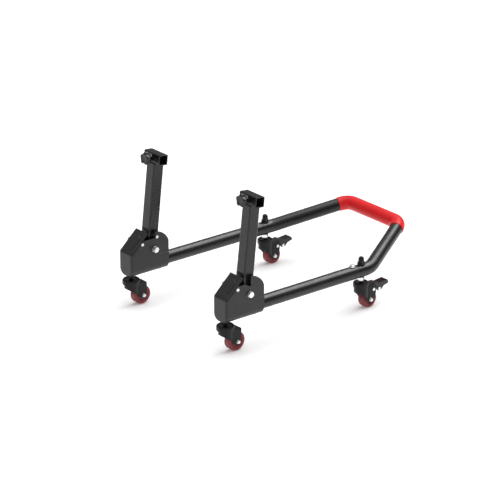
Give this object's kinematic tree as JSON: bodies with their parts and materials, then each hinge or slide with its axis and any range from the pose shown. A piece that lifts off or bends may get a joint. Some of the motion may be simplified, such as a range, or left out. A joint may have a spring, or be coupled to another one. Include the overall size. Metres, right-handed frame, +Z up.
{
  "type": "motorcycle paddock stand",
  "caption": "Motorcycle paddock stand: U-shaped tube frame on swivel casters, tilting lift posts with clamping receivers, and a raised handle with a soft grip.",
  "frame": {"origin": "on the floor, in the middle of the stand's width and length", "axes": "+X towards the right-hand arm seen from the lifting end, +Y from the lifting posts towards the handle, +Z up"},
  "size_m": [0.4962, 0.7666, 0.4467],
  "materials": {
    "tube_coat": "dark grey powder coat, semi-gloss",
    "housing_coat": "dark grey powder coat, satin",
    "grip_red": "smooth, slightly glossy red sleeve",
    "bright_zinc": "bright zinc plated fastener",
    "caster_black": "black caster steel, satin",
    "black_plastic": "black moulded plastic, satin",
    "wheel_red": "dull red polyurethane wheel"
  },
  "bodies": {
    "frame": {"handle_tube": "tube_coat", "grip_sleeve": "grip_red", "arm_tube_left": "tube_coat", "joint_sleeve_left": "bright_zinc", "joint_bolt_left": "bright_zinc", "housing_left": "housing_coat", "pivot_bolt_left": "bright_zinc", "pivot_nut_left": "bright_zinc", "pivot_bush_left": "bright_zinc", "tie_bolt_left": "bright_zinc", "tube_bolt_left": "bright_zinc", "lock_bolt_left": "bright_zinc", "dome_nut_left": "caster_black", "stem_nut_left": "bright_zinc", "caster_head_front_left": "caster_black", "seat_nut_front_left": "caster_black", "caster_head_rear_left": "caster_black", "seat_nut_rear_left": "bright_zinc", "arm_tube_right": "tube_coat", "joint_sleeve_right": "bright_zinc", "joint_bolt_right": "bright_zinc", "housing_right": "housing_coat", "pivot_bolt_right": "bright_zinc", "pivot_nut_right": "bright_zinc", "pivot_bush_right": "bright_zinc", "tie_bolt_right": "bright_zinc", "tube_bolt_right": "bright_zinc", "lock_bolt_right": "bright_zinc", "dome_nut_right": "caster_black", "stem_nut_right": "bright_zinc", "caster_head_front_right": "caster_black", "seat_nut_front_right": "caster_black", "caster_head_rear_right": "caster_black", "seat_nut_rear_right": "bright_zinc"},
    "lift_post_left": {"post_left": "tube_coat", "receiver_left": "tube_coat", "clamp_nut_left": "tube_coat"},
    "clamp_left": {"clamp_pad_left": "black_plastic"},
    "star_knob_left": {"knob_left": "black_plastic"},
    "lift_post_right": {"post_right": "tube_coat", "receiver_right": "tube_coat", "clamp_nut_right": "tube_coat"},
    "clamp_right": {"clamp_pad_right": "black_plastic"},
    "star_knob_right": {"knob_right": "black_plastic"},
    "caster_front_left": {"fork_front_left": "caster_black", "axle_bolt_front_left": "bright_zinc"},
    "roller_front_left": {"wheel_front_left": "wheel_red"},
    "caster_rear_left": {"fork_rear_left": "caster_black", "axle_bolt_rear_left": "bright_zinc", "pedal_pin_left": "bright_zinc"},
    "roller_rear_left": {"wheel_rear_left": "wheel_red"},
    "pedal_left": {"brake_pedal_left": "black_plastic"},
    "caster_front_right": {"fork_front_right": "caster_black", "axle_bolt_front_right": "bright_zinc"},
    "roller_front_right": {"wheel_front_right": "wheel_red"},
    "caster_rear_right": {"fork_rear_right": "caster_black", "axle_bolt_rear_right": "bright_zinc", "pedal_pin_right": "bright_zinc"},
    "roller_rear_right": {"wheel_rear_right": "wheel_red"},
    "pedal_right": {"brake_pedal_right": "black_plastic"}
  },
  "joints": [
    {"name": "post_tilt_left", "type": "hinge", "parent": "frame", "child": "lift_post_left", "pos_m": [-0.212, -0.2949, 0.1634], "axis": [-1, 0, 0], "range_deg": [-10.5, 84]},
    {"name": "clamp_slide_left", "type": "slide", "parent": "lift_post_left", "child": "clamp_left", "axis": [0, 0.9937, -0.1123], "range_m": [-0.004, 0.0055]},
    {"name": "knob_turn_left", "type": "hinge", "parent": "clamp_left", "child": "star_knob_left", "pos_m": [-0.212, -0.2655, 0.42344], "axis": [0, 0.9937, -0.1123], "range_deg": [-1140, 1580]},
    {"name": "post_tilt_right", "type": "hinge", "parent": "frame", "child": "lift_post_right", "pos_m": [0.212, -0.2949, 0.1634], "axis": [-1, 0, 0], "range_deg": [-10.5, 84]},
    {"name": "clamp_slide_right", "type": "slide", "parent": "lift_post_right", "child": "clamp_right", "axis": [0, 0.9937, -0.1123], "range_m": [-0.004, 0.0055]},
    {"name": "knob_turn_right", "type": "hinge", "parent": "clamp_right", "child": "star_knob_right", "pos_m": [0.212, -0.2655, 0.42344], "axis": [0, 0.9937, -0.1123], "range_deg": [-1140, 1580]},
    {"name": "swivel_front_left", "type": "hinge", "parent": "frame", "child": "caster_front_left", "pos_m": [-0.212, -0.3578, 0.0665], "axis": [0, 0, 1], "continuous": true},
    {"name": "roll_front_left", "type": "hinge", "parent": "caster_front_left", "child": "roller_front_left", "pos_m": [-0.212, -0.3263, 0.0275], "axis": [1, 0, 0], "continuous": true},
    {"name": "swivel_rear_left", "type": "hinge", "parent": "frame", "child": "caster_rear_left", "pos_m": [-0.212, 0.1295, 0.0665], "axis": [0, 0, 1], "continuous": true},
    {"name": "roll_rear_left", "type": "hinge", "parent": "caster_rear_left", "child": "roller_rear_left", "pos_m": [-0.212, 0.1535, 0.025], "axis": [1, 0, 0], "continuous": true},
    {"name": "brake_tip_left", "type": "hinge", "parent": "caster_rear_left", "child": "pedal_left", "pos_m": [-0.212, 0.1621, 0.0546], "axis": [-1, 0, 0], "range_deg": [0, 18]},
    {"name": "swivel_front_right", "type": "hinge", "parent": "frame", "child": "caster_front_right", "pos_m": [0.212, -0.3578, 0.0665], "axis": [0, 0, 1], "continuous": true},
    {"name": "roll_front_right", "type": "hinge", "parent": "caster_front_right", "child": "roller_front_right", "pos_m": [0.212, -0.3263, 0.0275], "axis": [1, 0, 0], "continuous": true},
    {"name": "swivel_rear_right", "type": "hinge", "parent": "frame", "child": "caster_rear_right", "pos_m": [0.212, 0.1295, 0.0665], "axis": [0, 0, 1], "continuous": true},
    {"name": "roll_rear_right", "type": "hinge", "parent": "caster_rear_right", "child": "roller_rear_right", "pos_m": [0.212, 0.1535, 0.025], "axis": [1, 0, 0], "continuous": true},
    {"name": "brake_tip_right", "type": "hinge", "parent": "caster_rear_right", "child": "pedal_right", "pos_m": [0.212, 0.1621, 0.0546], "axis": [-1, 0, 0], "range_deg": [0, 18]}
  ],
  "couplings": [
    {"joint": "clamp_slide_left", "follows": "knob_turn_left", "m_per_rad": 0.00019894},
    {"joint": "clamp_slide_right", "follows": "knob_turn_right", "m_per_rad": 0.00019894}
  ]
}
